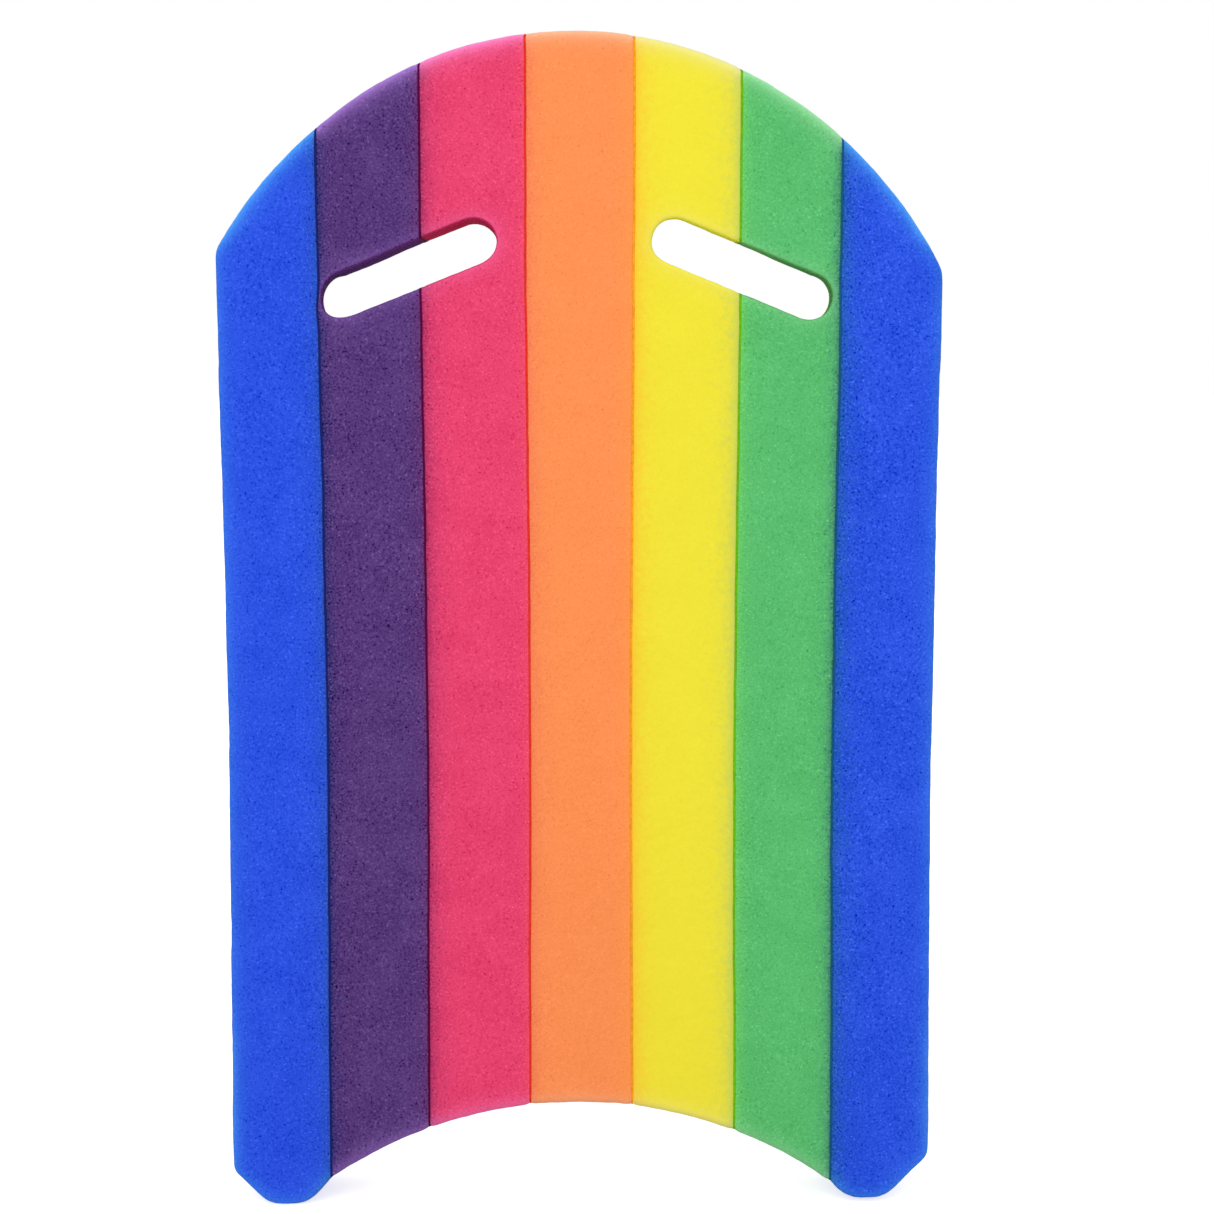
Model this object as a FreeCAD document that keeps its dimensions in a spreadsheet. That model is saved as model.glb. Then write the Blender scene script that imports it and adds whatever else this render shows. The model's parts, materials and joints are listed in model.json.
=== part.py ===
import FreeCAD, Part
import math
import os
import Sketcher

# Kickboard float: seven foam planks welded side by side into one slab, which is then cut to shape.
# A shallow groove runs over each seam. The planks vary in width by a millimetre or two.
#
# Millimetres and degrees. The board stands on its two tail feet with its rounded nose up (+Z).
# X runs across the planks, the front face looks towards -Y and the back face towards +Y.
# The origin is midway between the sides and midway between the faces, at the lower foot's height.
#
# The body "cut_slab" is the welded slab after the cutter: outline, foot roundings, rims, hand slots.
# A plank is the part of that slab between two seams, and a weld is the part inside one seam.

# Driving dimensions: alias, value, meaning.
DIMENSIONS = [
    ("board_length", 480, "lower foot to the top of the nose"),
    ("board_width", 289, "side to side"),
    ("board_thickness", 38, "front face to back face"),
    ("blue_purple_seam", -103.7, "seam, from the slab's middle"),
    ("purple_pink_seam", -62.9, "seam, from the slab's middle"),
    ("pink_orange_seam", -21.1, "seam, from the slab's middle"),
    ("orange_yellow_seam", 21.0, "seam, from the slab's middle"),
    ("yellow_green_seam", 63.45, "seam, from the slab's middle"),
    ("green_blue_seam", 103.55, "seam, from the slab's middle"),
    ("weld_thickness", 0.8, "melted foam between two planks"),
    ("groove_depth", 1.2, "square-cornered groove over each seam, on both faces"),
    ("cutter_shift", 1.7, "how far the cutter sat towards -X of the slab's middle"),
    ("nose_shift", 2.3, "how far the nose sits towards -X of the slab's middle"),
    ("nose_radius", 153, "middle arc of the nose"),
    ("shoulder_radius", 181, "outer arcs of the nose"),
    ("shoulder_reach", 77, "half width at which the nose arcs meet"),
    ("shoulder_round", 8, "rounding where the nose meets a side"),
    ("hollow_radius", 178, "arc between the feet"),
    ("hollow_rise", 43.6, "top of that arc above the lower foot"),
    ("foot_outer", 128, "cutter's middle to the outer end of a foot"),
    ("foot_inner", 112, "cutter's middle to the inner end of a foot"),
    ("foot_lift", 2, "height of the +X foot above the -X foot"),
    ("foot_round", 12, "rounding of a foot's own two corners"),
    ("tail_round", 5, "rounding where a foot meets the side and the hollow"),
    ("chamfer_angle", 45, "slope from a foot up to the side"),
    ("flank_angle", 48, "slope from a foot up to the hollow"),
    ("rim_round", 3, "rounding of the outline on both faces"),
    ("left_slot_length", 74, "hand slot on the -X side, end to end"),
    ("right_slot_length", 77, "hand slot on the +X side, end to end"),
    ("slot_width", 18.8, "hand slot, across"),
    ("slot_tilt", 22, "slope of the slots, inner ends higher"),
    ("slot_spacing", 131.6, "middle of one slot to middle of the other"),
    ("slot_height", 387, "slot middles above the lower foot"),
    ("slot_round", 1.2, "rounding of the slots on both faces"),
    ("spare", 10, "how far a dividing block runs past the slab"),
]

# From the -X side to the +X side.
PLANKS = [
    "plank_blue_left",
    "plank_purple",
    "plank_pink",
    "plank_orange",
    "plank_yellow",
    "plank_green",
    "plank_blue_right",
]
WELDS = [
    "weld_blue_purple",
    "weld_purple_pink",
    "weld_pink_orange",
    "weld_orange_yellow",
    "weld_yellow_green",
    "weld_green_blue",
]

# A hand slot crosses these two seams, so each weld is one run above the slot and one below it.
RUNS = {"weld_purple_pink": 2, "weld_yellow_green": 2}

START, END, MIDDLE = 1, 2, 3
ORIGIN = (-1, START)
X_AXIS = -1
NORMAL = FreeCAD.Vector(0, 0, 1)
LEFT, RIGHT = -1, 1
TOLERANCE = 0.01


class Sheet:
    """The spreadsheet of driving dimensions. In an expression, [alias] stands for its cell."""

    def __init__(self, doc):
        self.cells = doc.addObject("Spreadsheet::Sheet", "dimensions")
        for row, (alias, value, meaning) in enumerate(DIMENSIONS, start=1):
            self.cells.set(f"A{row}", alias)
            self.cells.set(f"B{row}", str(value))
            self.cells.setAlias(f"B{row}", alias)
            self.cells.set(f"C{row}", meaning)
        doc.recompute()

    def value(self, words):
        """What an expression comes to, for first positions and for finding edges."""
        return float(self.cells.evalExpression(words.replace("[", "").replace("]", "")))

    def bind(self, thing, prop, words):
        """Keeps a property equal to an expression."""
        thing.setExpression(prop, words.replace("[", "dimensions.").replace("]", ""))


class FrontSketch:
    """A sketch on a body's own XZ plane: sketch x is X, and sketch y is Z."""

    def __init__(self, sheet, body, name):
        self.sheet = sheet
        self.sketch = body.newObject("Sketcher::SketchObject", name)
        plane = next(part for part in body.Origin.OriginFeatures if part.Role == "XZ_Plane")
        self.sketch.AttachmentSupport = [(plane, "")]
        self.sketch.MapMode = "FlatFace"

    def line(self, first, last, construction=False):
        """A line between two places."""
        return self.sketch.addGeometry(Part.LineSegment(first, last), construction)

    def arc(self, centre, radius, from_angle, to_angle):
        """An arc that runs counter-clockwise between two angles in degrees."""
        circle = Part.Circle(centre, NORMAL, radius)
        ends = math.radians(from_angle), math.radians(to_angle)
        return self.sketch.addGeometry(Part.ArcOfCircle(circle, *ends), False)

    def point(self, place):
        """A construction point."""
        return self.sketch.addGeometry(Part.Point(place), True)

    def rule(self, kind, *ends):
        """A constraint with no size, such as Coincident or Vertical."""
        self.sketch.addConstraint(Sketcher.Constraint(kind, *ends))

    def size(self, kind, ends, words):
        """A constraint whose size is an expression."""
        start = self.sheet.value(words)
        if kind == "Angle":
            start = math.radians(start)
        index = self.sketch.addConstraint(Sketcher.Constraint(kind, *ends, start))
        self.sheet.bind(self.sketch, f"Constraints[{index}]", words)

    def across(self, side, point, words):
        """Sets how far a point lies from the origin, towards the LEFT or RIGHT side."""
        ends = (*ORIGIN, *point) if side == RIGHT else (*point, *ORIGIN)
        self.size("DistanceX", ends, words)


def spot(x, z):
    """A place in a front sketch."""
    return FreeCAD.Vector(x, z, 0)


def step(angle, length):
    """A step in a front sketch, at an angle in degrees from +X towards +Z."""
    return spot(length * math.cos(math.radians(angle)), length * math.sin(math.radians(angle)))


def mirrored(side, angle):
    """An angle drawn for the right side, turned over for the left."""
    return angle if side == RIGHT else 180 - angle


def from_cutter(side, words):
    """The distance from the origin of something that lies so far from the cutter's middle."""
    return f"{words} - [cutter_shift]" if side == RIGHT else f"{words} + [cutter_shift]"


def draw_crown(sheet, draw):
    """The middle arc of the nose."""
    centre = spot(-sheet.value("[nose_shift]"), sheet.value("[board_length] - [nose_radius]"))
    end_angle = math.degrees(math.acos(sheet.value("[shoulder_reach] / [nose_radius]")))
    crown = draw.arc(centre, sheet.value("[nose_radius]"), end_angle, 180 - end_angle)
    draw.size("Radius", (crown,), "[nose_radius]")
    draw.across(LEFT, (crown, MIDDLE), "[nose_shift]")
    draw.size("DistanceY", (*ORIGIN, crown, MIDDLE), "[board_length] - [nose_radius]")
    draw.size("DistanceX", (crown, MIDDLE, crown, START), "[shoulder_reach]")
    draw.size("DistanceX", (crown, END, crown, MIDDLE), "[shoulder_reach]")
    return crown


def draw_shoulder(sheet, draw, side, crown):
    """A flatter arc, tangent to one end of the crown and running down to that side."""
    radius = sheet.value("[shoulder_radius]")
    top = mirrored(side, math.degrees(math.acos(sheet.value("[shoulder_reach] / [nose_radius]"))))
    centre = draw.sketch.Geometry[crown].Center - step(top, radius - sheet.value("[nose_radius]"))
    side_x = side * sheet.value("[board_width] / 2")
    bottom = math.degrees(math.acos((side_x - centre.x) / radius))
    shoulder = draw.arc(centre, radius, min(top, bottom), max(top, bottom))
    draw.size("Radius", (shoulder,), "[shoulder_radius]")
    if side == RIGHT:
        draw.rule("Tangent", shoulder, END, crown, START)
    else:
        draw.rule("Tangent", shoulder, START, crown, END)
    return shoulder


def draw_side(sheet, draw, side, shoulder):
    """A straight side, from its lower end up to the shoulder."""
    x = side * sheet.value("[board_width] / 2")
    line = draw.line(spot(x, sheet.value("[foot_round]")), spot(x, sheet.value("[slot_height]")))
    draw.rule("Vertical", line)
    draw.across(side, (line, START), "[board_width] / 2")
    draw.rule("Coincident", line, END, shoulder, START if side == RIGHT else END)
    return line


def draw_foot(sheet, draw, side, side_line):
    """A foot: its flat bottom, the chamfer up to the side and the flank up to the hollow."""
    height = sheet.value("[foot_lift]") if side == RIGHT else 0
    outer = spot(side * sheet.value(from_cutter(side, "[foot_outer]")), height)
    inner = spot(side * sheet.value(from_cutter(side, "[foot_inner]")), height)
    chamfer_step = step(mirrored(side, sheet.value("[chamfer_angle]")), sheet.value("[foot_round]"))
    flank_step = step(mirrored(-side, sheet.value("[flank_angle]")), sheet.value("[foot_round]"))

    bottom = draw.line(inner, outer)
    chamfer = draw.line(outer, outer + chamfer_step)
    flank = draw.line(inner, inner + flank_step)
    draw.rule("Horizontal", bottom)
    draw.across(side, (bottom, END), from_cutter(side, "[foot_outer]"))
    draw.across(side, (bottom, START), from_cutter(side, "[foot_inner]"))
    draw.rule("Coincident", bottom, END, chamfer, START)
    draw.rule("Coincident", bottom, START, flank, START)
    draw.rule("Coincident", chamfer, END, side_line, START)
    if side == RIGHT:
        draw.size("DistanceY", (*ORIGIN, bottom, START), "[foot_lift]")
        draw.size("Angle", (chamfer,), "[chamfer_angle]")
        draw.size("Angle", (flank,), "180 - [flank_angle]")
    else:
        draw.rule("PointOnObject", bottom, START, X_AXIS)
        draw.size("Angle", (chamfer,), "180 - [chamfer_angle]")
        draw.size("Angle", (flank,), "[flank_angle]")
    return flank


def draw_hollow(sheet, draw, right_flank, left_flank):
    """The arc between the feet."""
    depth = sheet.value("[hollow_radius] - [hollow_rise]")
    centre = spot(-sheet.value("[cutter_shift]"), -depth)
    end_angle = math.degrees(math.acos(sheet.value("[foot_inner] / [hollow_radius]")))
    hollow = draw.arc(centre, sheet.value("[hollow_radius]"), end_angle, 180 - end_angle)
    draw.size("Radius", (hollow,), "[hollow_radius]")
    draw.across(LEFT, (hollow, MIDDLE), "[cutter_shift]")
    draw.size("DistanceY", (hollow, MIDDLE, *ORIGIN), "[hollow_radius] - [hollow_rise]")
    draw.rule("Coincident", hollow, START, right_flank, END)
    draw.rule("Coincident", hollow, END, left_flank, END)


def draw_outline(sheet, draw):
    """The whole outline, except that its corners are still sharp."""
    crown = draw_crown(sheet, draw)
    flanks = []
    for side in (RIGHT, LEFT):
        shoulder = draw_shoulder(sheet, draw, side, crown)
        side_line = draw_side(sheet, draw, side, shoulder)
        flanks.append(draw_foot(sheet, draw, side, side_line))
    draw_hollow(sheet, draw, *flanks)


def slot_length(side):
    """The length of that side's hand slot, as an expression."""
    return "[left_slot_length]" if side == LEFT else "[right_slot_length]"


def draw_slot(sheet, draw, side):
    """A hand slot: two half circles and two lines, about an axis whose inner end is higher."""
    length = slot_length(side)
    radius = sheet.value("[slot_width] / 2")
    reach = sheet.value(f"({length} - [slot_width]) / 2")
    middle_words = from_cutter(side, "[slot_spacing] / 2")
    middle = spot(side * sheet.value(middle_words), sheet.value("[slot_height]"))
    tilt = -side * sheet.value("[slot_tilt]")
    first = middle - step(tilt, reach)
    last = middle + step(tilt, reach)
    up = step(tilt + 90, radius)

    axis = draw.line(first, last, construction=True)
    near_end = draw.arc(first, radius, tilt + 90, tilt + 270)
    far_end = draw.arc(last, radius, tilt - 90, tilt + 90)
    upper = draw.line(last + up, first + up)
    lower = draw.line(first - up, last - up)
    centre = draw.point(middle)
    for arc, arc_end, line, line_end in (
        (far_end, END, upper, START),
        (near_end, START, upper, END),
        (near_end, END, lower, START),
        (far_end, START, lower, END),
    ):
        draw.rule("Tangent", arc, arc_end, line, line_end)
    draw.rule("Equal", near_end, far_end)
    draw.rule("Coincident", axis, START, near_end, MIDDLE)
    draw.rule("Coincident", axis, END, far_end, MIDDLE)
    draw.rule("Symmetric", axis, START, axis, END, centre, START)
    draw.size("Radius", (near_end,), "[slot_width] / 2")
    draw.size("Distance", (axis,), f"{length} - [slot_width]")
    if side == LEFT:
        draw.size("Angle", (axis,), "[slot_tilt]")
    else:
        draw.size("Angle", (axis,), "-[slot_tilt]")
    draw.across(side, (centre, START), middle_words)
    draw.size("DistanceY", (*ORIGIN, centre, START), "[slot_height]")


def edge_names(shape, wanted):
    """The names of a shape's edges that pass a test."""
    return [f"Edge{i}" for i, edge in enumerate(shape.Edges, start=1) if wanted(edge)]


def goes_through(edge):
    """Whether an edge is straight and runs from the front face to the back face."""
    box = edge.BoundBox
    return box.YLength > TOLERANCE and max(box.XLength, box.ZLength) < TOLERANCE


def round_edges(sheet, body, name, wanted, alias):
    """Rounds the wanted edges of the body's last feature."""
    base = body.Tip
    fillet = body.newObject("PartDesign::Fillet", name)
    fillet.Base = (base, edge_names(base.Shape, wanted))
    sheet.bind(fillet, "Radius", f"[{alias}]")
    body.Document.recompute()


def seam(weld):
    """Where a weld's seam is across the board, as an expression."""
    return f"[{weld.removeprefix('weld_')}_seam]"


def cut_groove(sheet, body, weld, face, side, turn):
    """A shallow groove over a seam on one face, cut by the corner of a square bar."""
    bar = body.newObject("PartDesign::SubtractiveBox", f"{face}_groove_{weld}")
    bar.Placement.Rotation = FreeCAD.Rotation(NORMAL, turn)
    sheet.bind(bar, "Length", "[spare]")
    sheet.bind(bar, "Width", "[spare]")
    sheet.bind(bar, "Height", "[board_length] + 2 * [spare]")
    sheet.bind(bar, "Placement.Base.x", seam(weld))
    sheet.bind(bar, "Placement.Base.y", f"{side} * ([board_thickness] / 2 - [groove_depth])")
    sheet.bind(bar, "Placement.Base.z", "-[spare]")


def cut_grooves(sheet, body):
    """The grooves over all seams, on both faces."""
    for weld in WELDS:
        cut_groove(sheet, body, weld, "front", -1, 225)
        cut_groove(sheet, body, weld, "back", 1, 45)
    body.Document.recompute()


def make_slab(doc, sheet):
    """The welded slab after the cutter, from which every plank and weld is taken."""
    body = doc.addObject("PartDesign::Body", "cut_slab")
    half_thickness = sheet.value("[board_thickness] / 2")

    outline = FrontSketch(sheet, body, "outline")
    draw_outline(sheet, outline)
    pad = body.newObject("PartDesign::Pad", "slab")
    pad.Profile = outline.sketch
    pad.SideType = "Symmetric"
    sheet.bind(pad, "Length", "[board_thickness]")
    doc.recompute()

    foot_top = sheet.value("[foot_lift]") + TOLERANCE
    tail_top = sheet.value("[hollow_rise]")
    side_x = sheet.value("[board_width] / 2") - TOLERANCE

    def foot_corner(edge):
        return goes_through(edge) and edge.CenterOfMass.z < foot_top

    def tail_corner(edge):
        return goes_through(edge) and foot_top < edge.CenterOfMass.z < tail_top

    def shoulder_corner(edge):
        middle = edge.CenterOfMass
        return goes_through(edge) and middle.z > tail_top and abs(middle.x) > side_x

    def on_a_face(edge):
        box = edge.BoundBox
        return box.YLength < TOLERANCE and abs(abs(box.YMin) - half_thickness) < TOLERANCE

    round_edges(sheet, body, "tail_corners", tail_corner, "tail_round")
    round_edges(sheet, body, "foot_corners", foot_corner, "foot_round")
    round_edges(sheet, body, "shoulder_corners", shoulder_corner, "shoulder_round")
    round_edges(sheet, body, "rims", on_a_face, "rim_round")

    slots = FrontSketch(sheet, body, "hand_slots")
    for side in (LEFT, RIGHT):
        draw_slot(sheet, slots, side)
    before = body.Tip.Shape.Volume
    pocket = body.newObject("PartDesign::Pocket", "slot_cut")
    pocket.Profile = slots.sketch
    pocket.Type = "ThroughAll"
    pocket.SideType = "Symmetric"
    doc.recompute()
    if pocket.Shape.Volume > before - half_thickness * sheet.value("[left_slot_length]"):
        raise RuntimeError("the hand slots were not cut")

    slot_height = sheet.value("[slot_height]")
    slot_reach = sheet.value("[right_slot_length] / 2")
    slot_middles = [
        side * sheet.value(from_cutter(side, "[slot_spacing] / 2")) for side in (LEFT, RIGHT)
    ]

    def slot_edge(edge):
        middle = edge.CenterOfMass
        near = any(math.hypot(middle.x - x, middle.z - slot_height) < slot_reach for x in slot_middles)
        return near and on_a_face(edge)

    round_edges(sheet, body, "slot_rims", slot_edge, "slot_round")
    cut_grooves(sheet, body)
    return body


def make_block(doc, sheet, name, left, right):
    """A block as tall and thick as needed to hold everything between two places across the board."""
    box = doc.addObject("Part::Box", f"{name}_block")
    sheet.bind(box, "Length", f"{right} - ({left})")
    sheet.bind(box, "Width", "[board_thickness] + 2 * [spare]")
    sheet.bind(box, "Height", "[board_length] + 2 * [spare]")
    sheet.bind(box, "Placement.Base.x", left)
    sheet.bind(box, "Placement.Base.y", "-[board_thickness] / 2 - [spare]")
    sheet.bind(box, "Placement.Base.z", "-[spare]")
    return box


def take_piece(doc, name, slab, block):
    """The part of the slab that lies inside a block."""
    piece = doc.addObject("Part::Common", name)
    piece.Base = slab
    piece.Tool = block
    piece.Refine = True
    return piece


def make_pieces(doc, sheet):
    """Every plank and weld, by name."""
    slab = make_slab(doc, sheet)
    lefts = ["-[board_width] / 2 - [spare]"]
    rights = []
    pieces = {}
    for name in WELDS:
        left = f"{seam(name)} - [weld_thickness] / 2"
        right = f"{seam(name)} + [weld_thickness] / 2"
        pieces[name] = take_piece(doc, name, slab, make_block(doc, sheet, name, left, right))
        rights.append(left)
        lefts.append(right)
    rights.append("[board_width] / 2 + [spare]")
    for name, left, right in zip(PLANKS, lefts, rights):
        pieces[name] = take_piece(doc, name, slab, make_block(doc, sheet, name, left, right))
    doc.recompute()
    return pieces


def check(doc, pieces):
    """Stops before anything is written if an object failed or a piece isn't what it should be."""
    for thing in doc.Objects:
        if "Invalid" in thing.State or "Error" in thing.State:
            raise RuntimeError(f"{thing.Label} failed: {thing.State}")
        if thing.isDerivedFrom("Sketcher::SketchObject") and not thing.FullyConstrained:
            raise RuntimeError(f"{thing.Label} has freedom left")
    for name, piece in pieces.items():
        shape = piece.Shape
        if shape.isNull() or not shape.isValid():
            raise RuntimeError(f"{name} has no valid shape")
        if len(shape.Solids) != RUNS.get(name, 1):
            raise RuntimeError(f"{name} has {len(shape.Solids)} solids")


def main():
    doc = FreeCAD.newDocument("kickboard_float")
    sheet = Sheet(doc)
    pieces = make_pieces(doc, sheet)
    check(doc, pieces)
    os.makedirs("parts", exist_ok=True)
    for name, piece in pieces.items():
        piece.Shape.exportStep(f"parts/{name}.step")
        print(f"{name}: {piece.Shape.Volume / 1000:.1f} cm3, {len(piece.Shape.Faces)} faces")


main()
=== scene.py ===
"""Looks of a foam kickboard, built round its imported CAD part.

Each plank becomes a dense mesh with rounded edges and a grained foam surface, and each weld a thin bead
in the groove between two planks. Mesh code works in millimetres, in the CAD frame: +X right, +Z up to
the nose, -Y out of the front face. Meshes are handed to Blender in metres.
"""
import json
import math
from collections import namedtuple

import bpy
import numpy as np
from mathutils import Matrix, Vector
from mathutils.geometry import delaunay_2d_cdt


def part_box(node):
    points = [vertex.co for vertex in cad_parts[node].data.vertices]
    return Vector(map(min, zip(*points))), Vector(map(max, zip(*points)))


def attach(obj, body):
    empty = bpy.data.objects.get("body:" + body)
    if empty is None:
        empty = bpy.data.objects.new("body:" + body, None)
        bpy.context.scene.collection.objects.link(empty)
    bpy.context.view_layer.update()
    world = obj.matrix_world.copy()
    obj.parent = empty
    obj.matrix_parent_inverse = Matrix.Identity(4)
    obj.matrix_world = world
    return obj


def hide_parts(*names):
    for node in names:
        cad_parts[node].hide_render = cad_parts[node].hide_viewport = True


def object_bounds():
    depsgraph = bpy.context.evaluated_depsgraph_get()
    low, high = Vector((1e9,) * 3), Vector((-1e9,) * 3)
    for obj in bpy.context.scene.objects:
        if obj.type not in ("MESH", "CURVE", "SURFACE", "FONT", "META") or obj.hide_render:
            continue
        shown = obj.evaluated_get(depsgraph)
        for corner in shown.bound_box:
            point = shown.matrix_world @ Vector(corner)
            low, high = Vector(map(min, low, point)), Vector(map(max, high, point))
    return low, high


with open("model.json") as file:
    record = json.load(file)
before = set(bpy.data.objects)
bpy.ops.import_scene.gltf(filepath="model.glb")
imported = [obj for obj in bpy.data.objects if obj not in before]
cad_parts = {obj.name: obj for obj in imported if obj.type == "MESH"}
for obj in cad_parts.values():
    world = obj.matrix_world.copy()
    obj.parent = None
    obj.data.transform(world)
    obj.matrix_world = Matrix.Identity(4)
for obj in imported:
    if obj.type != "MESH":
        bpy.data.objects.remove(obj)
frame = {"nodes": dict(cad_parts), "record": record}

CAD_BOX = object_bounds()
MM = 0.001

# --- Sizes of the foam detail, in millimetres -------------------------------------------------------
GRID_STEP = 1.1           # spacing of the mesh on the faces and round the outline
WALL_STEP = 1.25          # spacing of the mesh through the thickness
WALL_FADE = 2.5           # down a wall, an edge is left behind this much faster than across a face
RING_GAPS = (0.15, 0.5, 1.05, 1.75)   # rows of points that follow the outline, for the rounded edges
RIM_ROUND = 3.0           # the board's outer edges, as in the CAD
SLOT_ROUND = 1.2          # the edges of the hand slots, as in the CAD
SEAM_ROUND = 0.30         # the edges where two planks meet
PLANK_CROWN = 0.25        # a plank's face is this much lower at its seams than along its middle
CORNER_TURN = 20.0        # degrees; a sharper turn of an outline is a corner
SMOOTHING_PASSES = 3      # soften the chords of the CAD mesh
CORNER_SHARE = 0.6        # the corners at the seams keep this much of their sharpness
CUT_PLANE = 0.1           # outlines are taken just off the middle plane, clear of any vertex
SEAM_TOLERANCE = 0.06     # a point this close to a plank's flank line lies on the seam
SLOT_TOLERANCE = 0.35     # a point this close to a slot's wall lies on it
SLOT_NEAR = 1.0           # an outline's end this close to a slot's wall ends at the slot
SLOT_TILT = 22.0          # degrees; each slot falls away from the board's middle
POINT_DIGITS = 4          # decimals by which two points of an outline are told apart
RING_CLEARANCE = 0.93     # a point of a row is dropped if it lies nearer the outline than this of its gap
POINT_SPACING = 0.6       # points stay this many grid steps apart,
LEAST_SPACING = 0.3       # or at least this far in the rows nearest the outline
TRIANGLES_INSIDE = 1      # asks delaunay_2d_cdt for the triangles inside the outline only
MERGE_GAP = 1e-5          # and to merge only points that are closer than this
FAR = 1e3                 # stands for no edge anywhere near
FARTHEST_KEPT = 50.0      # distances past this are all the same to the materials
TINY = 1e-9               # keeps a division clear of zero
BLOCK = 2000              # points measured at a time, so that little memory is used

# Foam gives a little as it is welded and sawn, so nothing stays quite straight.
FLARE = 0.65              # a flank stands this much farther out than the CAD's, on average of its ends,
FLARE_TILT = 0.35         # more at the nose and less at the tail by this much,
WAIST = 1.4               # and draw in from there at mid-height
WAIST_MIDDLE = 205.0      # height of the waist
WAIST_REACH = 210.0       # the waist fades out this far above and below it
WAIST_SIDES = 15.0        # planks nearer the middle than this hardly move,
WAIST_INNER = 0.6         # and those just past it move by this share of the flanks' way
SKEW_REACH = 11.0         # foam this near to a hand slot moves with its wall
SEAM_WANDER = 0.22        # slow side-to-side drift of the seams
WANDER_SIZE = 38.0        # length of that drift
SEAM_RIPPLE = 0.10        # quick ripple on top of it
RIPPLE_SIZE_X = 7.0       # length of the ripple sideways
RIPPLE_SIZE_Z = 9.0       # and up and down
DENT = 0.16               # broad unevenness of the surface
DENT_SIZE = 17.0          # width of a dent
PEBBLE = 0.07             # fine lumps of the foam's skin
PEBBLE_SIZES = (3.4, 1.7)   # widths of the lumps
CALM_SHARE = 0.2          # dents and lumps keep this much of their height at a seam,
CALM_REACH = 3.0          # and have it all back this far away

# Welds
BEAD_DEPTH = 0.49         # the bead's face lies this far below the board's face
BEAD_OVERLAP = 0.05       # the bead runs this far into each plank, so that no gap shows
BEAD_END_GAP = 0.15       # the bead stops this far short of the board's rim
BEAD_HOLLOW = 0.03        # the bead's face is hollow by this much
BEAD_COLUMNS = 4          # cells of the mesh across a bead
BEAD_INSET = 1e-3         # a bead's height is read this far inside its sides

# Noise
NOISE_TABLE = 4096        # random values behind the lattice noise; a power of two
NOISE_PRIMES = (73856093, 19349663, 83492791)
WANDER_SEED = 11
RIPPLE_SEEDS = (12, 13)
DENT_SEED = 21
PEBBLE_SEEDS = (22, 23)


# --- Small numeric tools ----------------------------------------------------------------------------
def lattice_noise(points, size, seed):
    """Smooth noise from -1 to 1 at each point: random values on a lattice of this spacing, blended."""
    table = np.random.default_rng(seed).uniform(-1.0, 1.0, NOISE_TABLE)
    scaled = np.asarray(points, float) / size
    base = np.floor(scaled).astype(np.int64)
    part = scaled - base
    blend = part * part * (3.0 - 2.0 * part)
    axes = scaled.shape[1]
    primes = np.array(NOISE_PRIMES[:axes])
    total = np.zeros(len(scaled))
    for corner in range(2 ** axes):
        steps = np.array([(corner >> axis) & 1 for axis in range(axes)])
        share = np.prod(np.where(steps == 1, blend, 1.0 - blend), axis=1)
        key = np.bitwise_xor.reduce((base + steps) * primes, axis=1) & (NOISE_TABLE - 1)
        total += share * table[key]
    return total


def smooth_step(value):
    """0 below 0, 1 above 1, and an S-curve between."""
    inside = np.clip(value, 0.0, 1.0)
    return inside * inside * (3.0 - 2.0 * inside)


def edge_drop(gap, radius):
    """How far a rounded edge lies below the face, at this distance from the side it rounds."""
    reach = radius - np.clip(gap, 0.0, radius)
    return radius - np.sqrt(radius ** 2 - reach ** 2)


def gap_to_segments(points, starts, ends):
    """Distance from each point to the nearest of the segments."""
    if not len(starts):
        return np.full(len(points), FAR)
    along = ends - starts
    length_squared = np.maximum((along ** 2).sum(axis=1), TINY)
    nearest = np.empty(len(points))
    for first in range(0, len(points), BLOCK):
        offset = points[first:first + BLOCK, None, :] - starts[None, :, :]
        share = np.clip((offset * along).sum(axis=2) / length_squared, 0.0, 1.0)
        miss = offset - share[:, :, None] * along
        nearest[first:first + BLOCK] = np.sqrt((miss ** 2).sum(axis=2).min(axis=1))
    return nearest


# --- What the frame says ----------------------------------------------------------------------------
Slot = namedtuple("Slot", "middle along half_length radius left_skew right_skew")

# The hand slots were cut a little out of square. At the left end and at the right end of each: how far
# the opening in the back face has moved (x, z), how far the lower wall has risen, how far the upper
# wall has dropped at the front face, and how far the corner at BULGE_ANGLE has been cut too wide.
SLOT_SKEWS = {
    "left_hand_slot": ((-3.0, -1.8, 0.6, 0.4, 1.5), (-0.8, -0.6, 0.4, 0.0, 0.0)),
    "right_hand_slot": ((0.9, 1.0, 0.0, 0.45, 0.0), (2.5, -0.6, -0.3, 0.4, 0.0)),
}
BULGE_ANGLE = math.radians(226.0)
BULGE_FOCUS = 5.0         # the larger this is, the smaller the corner


def box_mm(node):
    """Lowest and highest corner of a CAD node, in millimetres."""
    low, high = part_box(node)
    return np.array(low) / MM, np.array(high) / MM


def read_slot(mount_name):
    """The hand slot that a mount of the record describes."""
    mount = next(m for m in frame["record"]["mounts"] if m["name"] == mount_name)
    x, _, z = (value / MM for value in mount["pos_m"])
    fall = math.radians(SLOT_TILT) * (-1 if x < 0 else 1)
    along = np.array([math.cos(fall), -math.sin(fall)])
    radius = mount["dims"]["hole_r_mm"]
    half_length = mount["dims"]["slot_length_mm"] / 2 - radius
    skews = [np.array(skew) for skew in SLOT_SKEWS[mount_name]]
    return Slot(np.array([x, z]), along, half_length, radius, *skews)


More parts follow.
